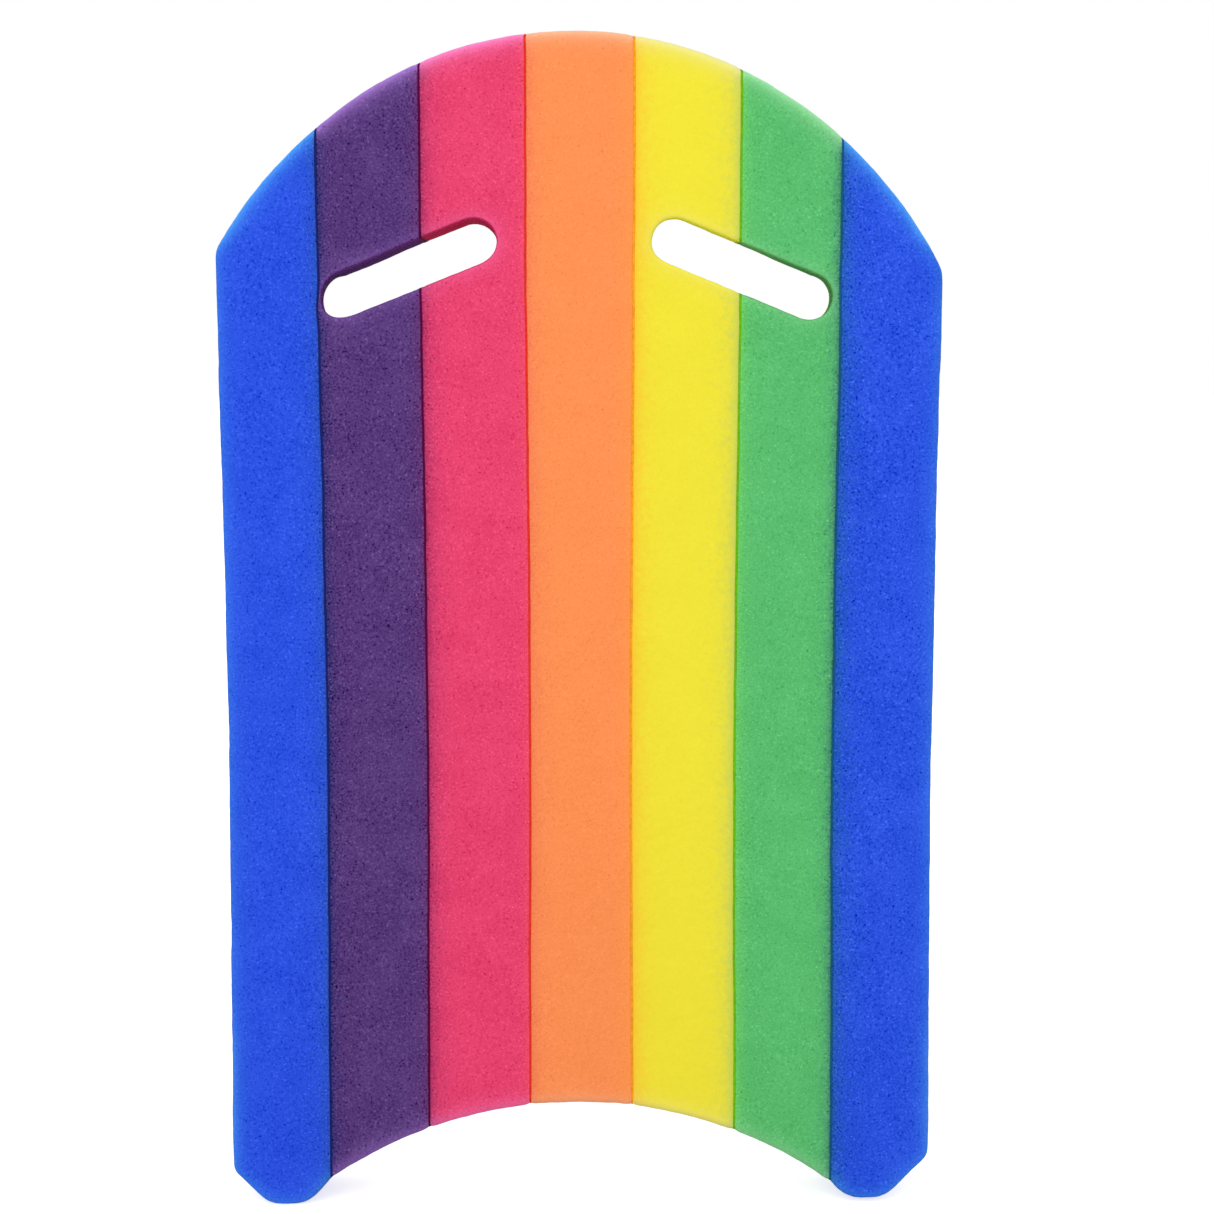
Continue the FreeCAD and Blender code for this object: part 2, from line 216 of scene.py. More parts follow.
SLOTS = [read_slot(mount_name) for mount_name in SLOT_SKEWS]
BOARD_LOW = np.array(CAD_BOX[0]) / MM
BOARD_HIGH = np.array(CAD_BOX[1]) / MM
HALF_THICKNESS = (BOARD_HIGH[1] - BOARD_LOW[1]) / 2
HALF_WIDTH = (BOARD_HIGH[0] - BOARD_LOW[0]) / 2


def slot_gap(points, slot):
    """For each (x, z): its distance from a slot's wall (negative inside the slot), the way out of the
    slot, and its place along the slot from 0 at the left end to 1 at the right end."""
    offset = points - slot.middle
    travel = np.clip(offset @ slot.along, -slot.half_length, slot.half_length)
    spoke = offset - travel[:, None] * slot.along
    length = np.maximum(np.linalg.norm(spoke, axis=1), TINY)
    return length - slot.radius, spoke / length[:, None], 0.5 + 0.5 * travel / slot.half_length


# --- Outlines ---------------------------------------------------------------------------------------
def cut_links(node):
    """Where a CAD node's triangles cross the middle plane: each crossing point and its neighbours."""
    mesh = frame["nodes"][node].data
    mesh.calc_loop_triangles()
    corners = [tuple(value / MM for value in vertex.co) for vertex in mesh.vertices]
    links = {}
    for triangle in mesh.loop_triangles:
        a, b, c = (corners[index] for index in triangle.vertices)
        crossings = []
        for p, q in (sorted((a, b)), sorted((b, c)), sorted((c, a))):
            if (p[1] - CUT_PLANE) * (q[1] - CUT_PLANE) < 0:
                share = (CUT_PLANE - p[1]) / (q[1] - p[1])
                crossings.append((round(p[0] + share * (q[0] - p[0]), POINT_DIGITS),
                                  round(p[2] + share * (q[2] - p[2]), POINT_DIGITS)))
        if len(crossings) == 2 and crossings[0] != crossings[1]:
            links.setdefault(crossings[0], []).append(crossings[1])
            links.setdefault(crossings[1], []).append(crossings[0])
    return links


def outlines(node):
    """The closed outlines of a CAD node as arrays of (x, z), anticlockwise seen from the front."""
    links = cut_links(node)
    loops = []
    while links:
        point = next(iter(links))
        loop = []
        while point is not None:
            loop.append(point)
            point = next((p for p in links.pop(point) if p in links), None)
        loop = np.array(loop)
        following = np.roll(loop, -1, axis=0)
        area = (loop[:, 0] * following[:, 1] - following[:, 0] * loop[:, 1]).sum()
        loops.append(loop if area > 0 else loop[::-1])
    return loops


def turns(loop):
    """The turn of an outline at each of its points, in degrees."""
    after = np.roll(loop, -1, axis=0) - loop
    before = loop - np.roll(loop, 1, axis=0)
    cross = before[:, 0] * after[:, 1] - before[:, 1] * after[:, 0]
    return np.degrees(np.arctan2(cross, (before * after).sum(axis=1)))


def resample(loop, step):
    """The outline with even spacing between its corners, which keep their places."""
    corners = np.flatnonzero(np.abs(turns(loop)) > CORNER_TURN)
    loop = np.roll(loop, -corners[0], axis=0)
    corners = list(corners - corners[0]) + [len(loop)]
    closed = np.vstack([loop, loop[:1]])
    pieces = []
    for first, last in zip(corners[:-1], corners[1:]):
        run = closed[first:last + 1]
        travel = np.concatenate([[0.0], np.cumsum(np.linalg.norm(np.diff(run, axis=0), axis=1))])
        count = max(1, round(travel[-1] / step))
        stops = np.linspace(0.0, travel[-1], count + 1)[:-1]
        pieces.append(np.column_stack([np.interp(stops, travel, run[:, axis]) for axis in (0, 1)]))
    return np.vstack(pieces)


def soften(loop, passes):
    """The outline with its small kinks and its corners eased."""
    for _ in range(passes):
        middle = (np.roll(loop, 1, axis=0) + np.roll(loop, -1, axis=0)) / 2
        loop = (loop + middle) / 2
    return loop


# --- Planks -----------------------------------------------------------------------------------------
Plank = namedtuple("Plank", "node low_seam high_seam")
Border = namedtuple("Border", "loop on_seam on_slot")


def read_border(plank):
    """A plank's outline, and which of its segments lie on a seam or in a slot."""
    loop = resample(outlines(plank.node)[0], GRID_STEP)
    following = np.roll(loop, -1, axis=0)
    on_seam = np.zeros(len(loop), bool)
    for seam in (plank.low_seam, plank.high_seam):
        if seam is not None:
            near = np.abs(loop[:, 0] - seam) < SEAM_TOLERANCE
            on_seam |= near & np.roll(near, -1)
    middles = (loop + following) / 2
    on_slot = np.zeros(len(loop), bool)
    for slot in SLOTS:
        on_slot |= np.abs(slot_gap(middles, slot)[0]) < SLOT_TOLERANCE
    on_slot &= ~on_seam
    softened = soften(loop, SMOOTHING_PASSES)
    crossing = on_seam != np.roll(on_seam, 1)
    at_slot = crossing & (on_slot | np.roll(on_slot, 1))
    softened[crossing] += CORNER_SHARE * (loop - softened)[crossing]
    softened[at_slot] = loop[at_slot]
    return Border(softened, on_seam, on_slot)


def thin_out(points, clearance):
    """Thins the points so that no two lie closer than this, with one at most in a square of this size."""
    kept = {}
    for index, (x, z) in enumerate(points):
        cell = (math.floor(x / clearance), math.floor(z / clearance))
        around = [(cell[0] + dx, cell[1] + dz) for dx in (-1, 0, 1) for dz in (-1, 0, 1)]
        near = [kept[key] for key in around if key in kept]
        if all(math.dist((x, z), points[other]) >= clearance for other in near):
            kept[cell] = index
    return points[sorted(kept.values())]


def ring_points(border, gap):
    """Points this far inside the outline, one for each of its points that has room."""
    loop = border.loop
    along = np.roll(loop, -1, axis=0) - np.roll(loop, 1, axis=0)
    inward = np.column_stack([-along[:, 1], along[:, 0]]) / np.linalg.norm(along, axis=1)[:, None]
    ring = loop + gap * inward
    clear = gap_to_segments(ring, loop, np.roll(loop, -1, axis=0))
    return ring[clear > RING_CLEARANCE * gap]


def hex_points(loop, step, margin):
    """An even triangular lattice of points inside the outline, this far clear of it."""
    low, high = loop.min(axis=0), loop.max(axis=0)
    row_step = step * math.sqrt(3) / 2
    rows = np.arange(low[1] + margin, high[1] - margin, row_step)
    points = [(x + (index % 2) * step / 2, z) for index, z in enumerate(rows)
              for x in np.arange(low[0] + margin, high[0] - margin, step)]
    points = np.array(points)
    points = points[is_inside(points, loop)]
    return points[gap_to_segments(points, loop, np.roll(loop, -1, axis=0)) > margin]


def is_inside(points, loop):
    """Whether each point lies inside the outline, by counting the edges to its right."""
    inside = np.zeros(len(points), bool)
    for (x1, z1), (x2, z2) in zip(loop, np.roll(loop, -1, axis=0)):
        if z1 != z2:
            spans = (z1 > points[:, 1]) != (z2 > points[:, 1])
            crossing = x1 + (points[:, 1] - z1) * (x2 - x1) / (z2 - z1)
            inside ^= spans & (points[:, 0] < crossing)
    return inside


def triangulate(border):
    """The plank's face as (points, triangles); the outline's own points come first."""
    spacing = POINT_SPACING * GRID_STEP
    rings = [thin_out(ring_points(border, gap), min(spacing, max(gap, LEAST_SPACING)))
             for gap in RING_GAPS]
    lattice = hex_points(border.loop, GRID_STEP, RING_GAPS[-1] + spacing)
    points = np.vstack([border.loop] + rings + [lattice])
    count = len(border.loop)
    edges = [(index, (index + 1) % count) for index in range(count)]
    made = delaunay_2d_cdt([Vector(p) for p in points], edges, [], TRIANGLES_INSIDE, MERGE_GAP)
    _, _, triangles, point_origins, _, _ = made
    source = [origins[0] for origins in point_origins]
    if len(source) != len(points):
        raise RuntimeError("the face's points were merged or split")
    return points, np.array([[source[index] for index in triangle] for triangle in triangles])


def face_gaps(plank, border, points):
    """Distances of the points from the board's rim, from the slots and from the two seams."""
    starts, ends = border.loop, np.roll(border.loop, -1, axis=0)
    on_rim = ~border.on_seam & ~border.on_slot
    gaps = {"rim": gap_to_segments(points, starts[on_rim], ends[on_rim]),
            "slot": gap_to_segments(points, starts[border.on_slot], ends[border.on_slot])}
    for name, seam in (("low_seam", plank.low_seam), ("high_seam", plank.high_seam)):
        far = np.full(len(points), FAR)
        gaps[name] = far if seam is None else np.abs(points[:, 0] - seam)
    return gaps


def face_height(points, gaps):
    """Distance of the face from the middle plane at each point."""
    low, high = points[:, 0].min(), points[:, 0].max()
    across = (2 * points[:, 0] - low - high) / (high - low)
    drops = [edge_drop(gaps["rim"], RIM_ROUND), edge_drop(gaps["slot"], SLOT_ROUND),
             edge_drop(gaps["low_seam"], SEAM_ROUND), edge_drop(gaps["high_seam"], SEAM_ROUND)]
    return HALF_THICKNESS - np.maximum.reduce(drops) - PLANK_CROWN * across ** 2


def plank_shell(border, points, triangles, height):
    """Closed mesh of a plank: its front, its back and the wall round it. Returns its points and faces,
    and how many rows of cells the wall has."""
    total, count = len(points), len(border.loop)
    rows = max(2, round(2 * HALF_THICKNESS / WALL_STEP))
    front = np.column_stack([points[:, 0], -height, points[:, 1]])
    back = np.column_stack([points[:, 0], height, points[:, 1]])
    walls = [front[:count] + (back[:count] - front[:count]) * row / rows for row in range(1, rows)]
    first_wall = 2 * total
    ring = np.arange(count)
    levels = [ring] + [first_wall + row * count + ring for row in range(rows - 1)] + [total + ring]
    quads = [np.column_stack([near, far, np.roll(far, -1), np.roll(near, -1)])
             for near, far in zip(levels[:-1], levels[1:])]
    faces = [triangles, triangles[:, ::-1] + total, np.vstack(quads)]
    return np.vstack([front, back] + walls), faces, rows


def wall_gaps(gaps, count, rows, height):
    """The distances for the wall's points: as on the outline, but a rim or slot edge is left behind
    as the wall goes deeper. "cut" is the distance from a slot's wall itself."""
    gaps = dict(gaps, cut=gaps["slot"])
    grown = {name: [values, values] for name, values in gaps.items()}
    for row in range(1, rows):
        deep = WALL_FADE * 2 * height[:count] * min(row, rows - row) / rows
        for name, values in gaps.items():
            grown[name].append(values[:count] + (deep if name in ("rim", "slot") else 0.0))
    return {name: np.concatenate(parts) for name, parts in grown.items()}


# --- How the whole board gives ----------------------------------------------------------------------
def skew_slots(points):
    """The points after the walls of the hand slots have moved, and the foam near them with the walls."""
    moved = points.copy()
    plane = points[:, [0, 2]]
    depth = np.clip(0.5 + 0.5 * points[:, 1] / HALF_THICKNESS, 0.0, 1.0)
    corner = np.array([math.cos(BULGE_ANGLE), math.sin(BULGE_ANGLE)])
    for slot in SLOTS:
        gap, outward, along = slot_gap(plane, slot)
        skew = slot.left_skew + along[:, None] * (slot.right_skew - slot.left_skew)
        lean = (skew[:, :2] * outward).sum(axis=1) * depth
        rise = skew[:, 2] * np.clip(-outward[:, 1], 0.0, 1.0)
        drop = skew[:, 3] * np.clip(outward[:, 1], 0.0, 1.0) * (1.0 - depth)
        bulge = skew[:, 4] * np.clip(outward @ corner, 0.0, 1.0) ** BULGE_FOCUS
        push = (lean - rise - drop + bulge) * (1.0 - smooth_step(gap / SKEW_REACH))
        moved[:, [0, 2]] += push[:, None] * outward
    return moved


def give(points):
    """The points after everything in which the foam isn't straight. All pieces share this."""
    points = skew_slots(points)
    x, z = points[:, 0], points[:, 2]
    level = np.clip((z - WAIST_MIDDLE) / WAIST_REACH, -1.0, 1.0)
    outward = FLARE + FLARE_TILT * level - WAIST * (0.5 + 0.5 * np.cos(np.pi * level))
    sideways = WAIST_INNER + (1.0 - WAIST_INNER) * np.abs(x) / HALF_WIDTH
    share = np.tanh(x / WAIST_SIDES) * sideways
    plane = points[:, [0, 2]]
    moved = points.copy()
    moved[:, 0] += outward * share
    moved[:, 0] += SEAM_WANDER * lattice_noise(plane, WANDER_SIZE, WANDER_SEED)
    moved[:, 0] += SEAM_RIPPLE * lattice_noise(plane, RIPPLE_SIZE_X, RIPPLE_SEEDS[0])
    moved[:, 2] += SEAM_RIPPLE * lattice_noise(plane, RIPPLE_SIZE_Z, RIPPLE_SEEDS[1])
    return moved


def grain(points, normals, strength):
    """The points pushed along their normals by broad dents and a fine pebbling."""
    push = DENT * lattice_noise(points, DENT_SIZE, DENT_SEED)
    for size, seed in zip(PEBBLE_SIZES, PEBBLE_SEEDS):
        push += PEBBLE * lattice_noise(points, size, seed)
    return points + (push * strength)[:, None] * normals


# --- Blender meshes ---------------------------------------------------------------------------------
def make_object(name, points, faces):
    """A mesh object with smooth shading, from points in millimetres and arrays of faces."""
    mesh = bpy.data.meshes.new(name)
    flat = [tuple(face) for block in faces for face in block.tolist()]
    mesh.from_pydata((points * MM).tolist(), [], flat)
    mesh.polygons.foreach_set("use_smooth", np.ones(len(mesh.polygons), bool))
    mesh.update()
    made = bpy.data.objects.new(name, mesh)
    bpy.context.scene.collection.objects.link(made)
    return made


def vertex_normals(made):
    """The normals at an object's vertices."""
    normals = np.empty(len(made.data.vertices) * 3, np.float32)
    made.data.vertex_normals.foreach_get("vector", normals)
    return normals.reshape(-1, 3).astype(float)


def set_points(made, points):
    """Moves an object's vertices to these points in millimetres."""
    made.data.vertices.foreach_set("co", (points * MM).astype(np.float32).ravel())
    made.data.update()


def store(made, name, values):
    """Keeps a number for each vertex, which the materials read."""
    attribute = made.data.attributes.new(name, "FLOAT", "POINT")
    attribute.data.foreach_set("value", values.astype(np.float32))


def build_plank(plank):
    """The foam mesh that stands for a CAD plank."""
    border = read_border(plank)
    points, triangles = triangulate(border)
    gaps = face_gaps(plank, border, points)
    height = face_height(points, gaps)
    shell, faces, rows = plank_shell(border, points, triangles, height)
    gaps = wall_gaps(gaps, len(border.loop), rows, height)
    shell = give(shell)
    made = make_object("foam_" + plank.node, shell, faces)
    calm = np.minimum(gaps["low_seam"], gaps["high_seam"])
    strength = CALM_SHARE + (1.0 - CALM_SHARE) * smooth_step(calm / CALM_REACH)
    set_points(made, grain(shell, vertex_normals(made), strength))
    for name, values in gaps.items():
        store(made, name, np.minimum(values, FARTHEST_KEPT))
    return made


# --- Welds ------------------------------------------------------------------------------------------
def lattice_box(counts):
    """The surface of a box cut into cells: its points as shares from 0 to 1, and its quads."""
    index, points, quads = {}, [], []

    def place(key):
        if key not in index:
            index[key] = len(points)
            points.append([key[axis] / counts[axis] for axis in range(3)])
        return index[key]

    for axis in range(3):
        side, up = (axis + 1) % 3, (axis + 2) % 3
        for level in (0, counts[axis]):
            for i in range(counts[side]):
                for j in range(counts[up]):
                    ring = []
                    for di, dj in ((0, 0), (1, 0), (1, 1), (0, 1)):
                        key = [0, 0, 0]
                        key[axis], key[side], key[up] = level, i + di, j + dj
                        ring.append(place(tuple(key)))
                    quads.append(ring if level else ring[::-1])
    return np.array(points), np.array(quads)


def span_at(loop, x):
    """Lowest and highest z of an outline on each line of constant x."""
    spans = []
    for value in x:
        heights = []
        for (x1, z1), (x2, z2) in zip(loop, np.roll(loop, -1, axis=0)):
            if (x1 - value) * (x2 - value) <= 0 and x1 != x2:
                heights.append(z1 + (value - x1) * (z2 - z1) / (x2 - x1))
        spans.append((min(heights), max(heights)))
    return np.array(spans)


def end_shape(x, z):
    """How far a bead stops short of its end at (x, z), and how its face is rounded off there."""
    at_slot = any(abs(slot_gap(np.array([[x, z]]), slot)[0][0]) < SLOT_NEAR for slot in SLOTS)
    return (0.0, SLOT_ROUND) if at_slot else (BEAD_END_GAP, RIM_ROUND)


def bead_run(loop):
    """Points and quads of one run of a weld bead."""
    low, high = loop.min(axis=0), loop.max(axis=0)
    layers = round(HALF_THICKNESS / WALL_STEP)
    rows = round((high[1] - low[1]) / GRID_STEP)
    shares, quads = lattice_box((BEAD_COLUMNS, layers, rows))
    width = high[0] - low[0] - 2 * BEAD_INSET
    across = low[0] + BEAD_INSET + width * np.linspace(0.0, 1.0, BEAD_COLUMNS + 1)
    spans = span_at(loop, across)[np.rint(shares[:, 0] * BEAD_COLUMNS).astype(int)]
    foot_gap, foot_round = end_shape(across.mean(), low[1])
    head_gap, head_round = end_shape(across.mean(), high[1])
    bottom, top = spans[:, 0] + foot_gap, spans[:, 1] - head_gap
    x = low[0] - BEAD_OVERLAP + (high[0] - low[0] + 2 * BEAD_OVERLAP) * shares[:, 0]
    z = bottom + (top - bottom) * shares[:, 2]
    drop = np.maximum(edge_drop(z - bottom, foot_round), edge_drop(top - z, head_round))
    half = HALF_THICKNESS - BEAD_DEPTH - drop
    half -= BEAD_HOLLOW * (1.0 - (2.0 * shares[:, 0] - 1.0) ** 2)
    y = (2.0 * shares[:, 1] - 1.0) * half
    return np.column_stack([x, y, z]), quads


def build_weld(node):
    """The bead that stands for a CAD weld, in one piece for each of its runs."""
    points, faces = [], []
    for loop in outlines(node):
        run, quads = bead_run(loop)
        faces.append(quads + sum(len(part) for part in points))
        points.append(run)
    points = give(np.vstack(points))
    return make_object("bead_" + node, points, faces)


# --- Materials --------------------------------------------------------------------------------------
MIX_A, MIX_B, MIX_RESULT = 6, 7, 2    # a mix node's colour sockets, whose names aren't unique
SPECK_CORE = 0.3          # a speck is at full strength over this share of its radius, from its middle


class Graph:
    """A material's node tree, with short calls for the nodes used here."""

    def __init__(self, name):
        self.material = bpy.data.materials.new(name)
        self.material.use_nodes = True
        self.tree = self.material.node_tree
        self.shader = self.tree.nodes["Principled BSDF"]

    def feed(self, socket, value):
        """Links an output to a socket, or sets the socket to a plain value."""
        if isinstance(value, bpy.types.NodeSocket):
            self.tree.links.new(value, socket)
        else:
            socket.default_value = value

    def node(self, kind, **settings):
        """A new node with these settings."""
        made = self.tree.nodes.new(kind)
        for name, value in settings.items():
            setattr(made, name, value)
        return made

    def math(self, operation, *values):
        """The result of an operation on numbers."""
        made = self.node("ShaderNodeMath", operation=operation)
        for socket, value in zip(made.inputs, values):
            self.feed(socket, value)
        return made.outputs[0]

    def vector(self, operation, *values):
        """The result of an operation on vectors."""
        made = self.node("ShaderNodeVectorMath", operation=operation)
        for socket, value in zip(made.inputs, values):
            self.feed(socket, value)
        return made.outputs[0]

    def mix(self, share, a, b):
        """A colour that passes from a at share 0 to b at share 1."""
        made = self.node("ShaderNodeMix", data_type="RGBA")
        self.feed(made.inputs["Factor"], share)
        self.feed(made.inputs[MIX_A], a)
        self.feed(made.inputs[MIX_B], b)
        return made.outputs[MIX_RESULT]

    def ramp(self, value, start, end, low=0.0, high=1.0):
        """low up to start, high from end on, and a smooth step between."""
        made = self.node("ShaderNodeMapRange", interpolation_type="SMOOTHSTEP")
        for name, number in (("From Min", start), ("From Max", end), ("To Min", low), ("To Max", high)):
            made.inputs[name].default_value = number
        self.feed(made.inputs["Value"], value)
        return made.outputs["Result"]

    def bump(self, height, strength):
        """Raises the surface by a pattern from 0 to 1."""
        made = self.node("ShaderNodeBump")
        self.feed(made.inputs["Height"], height)
        made.inputs["Strength"].default_value = strength
        made.inputs["Distance"].default_value = BUMP_HEIGHT * MM
        self.feed(self.shader.inputs["Normal"], made.outputs[0])

    def place(self, shift=(0.0, 0.0, 0.0), squeeze=(1.0, 1.0, 1.0)):
        """The point's place in the frame, in millimetres, with an offset for a pattern of its own. A
        squeeze below 1 stretches a pattern along that axis."""
        coordinates = self.node("ShaderNodeTexCoord").outputs["Object"]
        return self.vector("MULTIPLY_ADD", coordinates, [share / MM for share in squeeze], shift)

    def noise(self, place, size, detail=2.0):
        """Cloudy noise from 0 to 1 whose lumps are about this many millimetres across."""
        made = self.node("ShaderNodeTexNoise")
        self.feed(made.inputs["Vector"], place)
        made.inputs["Scale"].default_value = 1.0 / size
        made.inputs["Detail"].default_value = detail
        return made.outputs["Fac"]

    def specks(self, place, kind):
        """Scattered round specks: 1 in their middles and 0 outside. One cell in 1 / share has one."""
        cells = self.node("ShaderNodeTexVoronoi")
        self.feed(cells.inputs["Vector"], place)
        cells.inputs["Scale"].default_value = 1.0 / kind.spacing
        chosen = self.node("ShaderNodeSeparateColor")
        self.feed(chosen.inputs[0], cells.outputs["Color"])
        lit = self.math("LESS_THAN", chosen.outputs[0], kind.share)
        edge = kind.radius / kind.spacing
        disc = self.ramp(cells.outputs["Distance"], edge, SPECK_CORE * edge)
        return self.math("MULTIPLY", lit, disc)

    def attribute(self, name):
        """A number that the mesh keeps for each vertex."""
        return self.node("ShaderNodeAttribute", attribute_name=name).outputs["Fac"]


def tone(red, green, blue):
    """A colour given in display (sRGB) values from 0 to 255, as Blender's linear RGBA."""
    def linear(value):
        share = value / 255.0
        return share / 12.92 if share <= 0.04045 else ((share + 0.055) / 1.055) ** 2.4
    return (linear(red), linear(green), linear(blue), 1.0)


Foam = namedtuple("Foam", "base rim cut low_edge high_edge grain cloud")
Edge = namedtuple("Edge", "colour reach nibs")
Specks = namedtuple("Specks", "spacing share radius strength")

# Colours of each foam, of the painted highlight on its rim at the nose, where that highlight is
# strongest, and of the walls of its hand slots. An edge is the colour that the foam takes on where it is
# welded to its neighbour, how quickly that fades (mm), and how many dark nibs cross it. Grain and clouds
# are in steps of display brightness.
FOAMS = {
    "plank_blue_left": Foam(base=(43, 81, 225), rim=(84, 170, 255), cut=(43, 81, 225), low_edge=None,
                            high_edge=Edge((44, 83, 190), 3.6, 0.3), grain=12.8, cloud=2.6),
    "plank_purple": Foam(base=(86, 57, 120), rim=(178, 132, 222), cut=(107, 54, 135),
                         low_edge=Edge((48, 48, 112), 2.0, 0.5),
                         high_edge=Edge((102, 53, 113), 2.2, 0.5),
                         grain=16.2, cloud=3.4),
    "plank_pink": Foam(base=(231, 67, 111), rim=(255, 146, 212), cut=(210, 45, 99),
                       low_edge=Edge((172, 53, 102), 3.4, 0.5),
                       high_edge=Edge((242, 78, 104), 2.0, 0.0),
                       grain=9.8, cloud=2.6),
    "plank_orange": Foam(base=(253, 145, 84), rim=(248, 195, 158), cut=(253, 145, 84),
                         low_edge=Edge((243, 126, 85), 3.2, 0.0),
                         high_edge=Edge((255, 152, 76), 3.0, 0.0),
                         grain=5.0, cloud=1.1),
    "plank_yellow": Foam(base=(241, 228, 57), rim=(236, 232, 164), cut=(243, 238, 68),
                         low_edge=Edge((250, 197, 55), 3.6, 0.0),
                         high_edge=Edge((194, 208, 90), 3.4, 0.0),
                         grain=1.7, cloud=0.6),
    "plank_green": Foam(base=(90, 188, 110), rim=(170, 236, 178), cut=(104, 178, 105),
                        low_edge=Edge((110, 206, 98), 2.0, 0.0),
                        high_edge=Edge((68, 130, 114), 2.2, 0.7),
                        grain=9.0, cloud=2.2),
    "plank_blue_right": Foam(base=(43, 82, 224), rim=(84, 172, 255), cut=(43, 82, 224),
                             low_edge=Edge((38, 92, 178), 3.8, 0.4), high_edge=None,
                             grain=15.8, cloud=3.2),
}

# Bead colours, from the left seam to the right one: the colour of two foams melted together, and on the
# dark seams also painted shade of the groove between the planks.
BEAD_MELT_AND_SHADE_COLOURS = {
    "weld_blue_purple": (30, 34, 112),
    "weld_purple_pink": (92, 4, 60),
    "weld_pink_orange": (234, 54, 40),
    "weld_orange_yellow": (255, 168, 34),
    "weld_yellow_green": (112, 190, 20),
    "weld_green_blue": (22, 92, 132),
}

# Painted highlight along the rims: the foam is drawn paler where its rounded edges catch the light. It is
# strongest on the nose, which faces the light from above, and weaker on the back.
RIM_HIGHLIGHT_REACH = 2.5           # the painted highlight along a rim fades within about this
RIM_HIGHLIGHT_FLANK = 0.35          # its strength on the flanks, beside 1 on the nose
RIM_HIGHLIGHT_TAIL = 0.6            # on the tail
RIM_HIGHLIGHT_SLOT = 0.20           # and round the hand slots
RIM_HIGHLIGHT_BACK = 0.5            # the back's rims are this strong beside the front's
HIGHLIGHT_BACK_BAND = (-8.0, 8.0)   # depths between which the front's strength passes into the back's
HIGHLIGHT_TAIL_BAND = (66.0, 84.0)  # heights between which the tail's strength passes into the flanks'
HIGHLIGHT_NOSE_BAND = (388.0, 402.0)            # and the flanks' into the nose's
CUT_BAND = 0.8            # the slot walls' own colour reaches this far over the edge of a slot
BLEED_SIZE = 2.4          # length of the unevenness of a tinted edge
BLEED_BAND = (0.25, 0.75)
BLEED_SPEED = (1.5, 0.6)  # the tint fades this many times as fast at its narrowest and at its widest
NIB_REACH = 1.3           # short dark nibs cross the edge of a weld and fade within about this
NIB_SIZE = 0.9
NIB_STRETCH = (0.35, 1.0, 1.3)        # nibs lie across the weld
NIB_BAND = (0.5, 0.68)    # noise above the first value begins a nib, and above the second fills it
NIB_SHADE = 0.62          # brightness of a nib beside the edge's colour
BEAD_DARK = 0.9           # brightness of the darker blotches of a bead
BLOTCH = 1.6              # size of a blotch
BLOTCH_DETAIL = 3.0
BEAD_ROUGHNESS = (0.65, 0.85)
BEAD_BUMP = 0.5
CELL = 0.85               # size of a foam cell
CLOUD = 13.0              # size of the cloudy patches
PITS = Specks(spacing=1.25, share=0.07, radius=0.48, strength=-1.1)    # darker than the foam,
FLECKS = Specks(spacing=1.35, share=0.14, radius=0.48, strength=1.7)   # and paler, by this much grain
NOISE_BAND = (0.3, 0.7)   # most of a noise lies between these
WIDE_BAND = (0.2, 0.8)    # and nearly all of it between these
GRAIN_CALM = 0.5          # slope of the grain in its calm middle
GRAIN_PEAK = 1.1          # how fast it steepens towards its peaks
CRUMBLE = 0.6             # the grain is this much stronger again at a weld
CRUMBLE_REACH = 5.0       # and this is how slowly that fades
FOAM_ROUGHNESS = 0.86
FOAM_SHINE = 0.04         # share of a plastic's usual mirror reflection
FOAM_BUMP = 0.6
PIT_BUMP = 0.5            # depth of a pit beside the height of a cell
BUMP_HEIGHT = 0.10

# These offsets give each piece, and each pattern of a piece, a stretch of noise of its own. The foam's
# has no part along Y, because that could put the board's faces where the noise is nearly flat.
FOAM_SHIFT = np.array([17.0, 0.0, 29.0])
FLECK_SHIFT = (91.0, 43.0, 7.0)
BLEED_SHIFT = (5.0, 1.0)
NIB_SHIFT = (7.0, 3.0, 11.0)
BEAD_SHIFT = (13.0, 3.0, 7.0)


def fade(graph, gap, reach):
    """1 at no distance, falling off with the distance."""
    return graph.math("EXPONENT", graph.math("MULTIPLY", gap, -1.0 / reach))


def tint_edge(graph, colour, gap, edge, seed):
    """The colour with its neighbour's tint, which fades unevenly from the weld, and with dark nibs."""
    speed = graph.noise(graph.place((BLEED_SHIFT[0], seed, BLEED_SHIFT[1])), BLEED_SIZE)
    uneven = graph.math("MULTIPLY", gap, graph.ramp(speed, *BLEED_BAND, *BLEED_SPEED))
    colour = graph.mix(fade(graph, uneven, edge.reach), colour, tone(*edge.colour))
    if not edge.nibs:
        return colour
    place = graph.place((NIB_SHIFT[0] * seed, NIB_SHIFT[1], NIB_SHIFT[2]), NIB_STRETCH)
    nibs = graph.ramp(graph.noise(place, NIB_SIZE), *NIB_BAND)
    strength = graph.math("MULTIPLY", fade(graph, gap, NIB_REACH), edge.nibs)
    dark = tone(*(NIB_SHADE * value for value in edge.colour))
    return graph.mix(graph.math("MULTIPLY", nibs, strength), colour, dark)


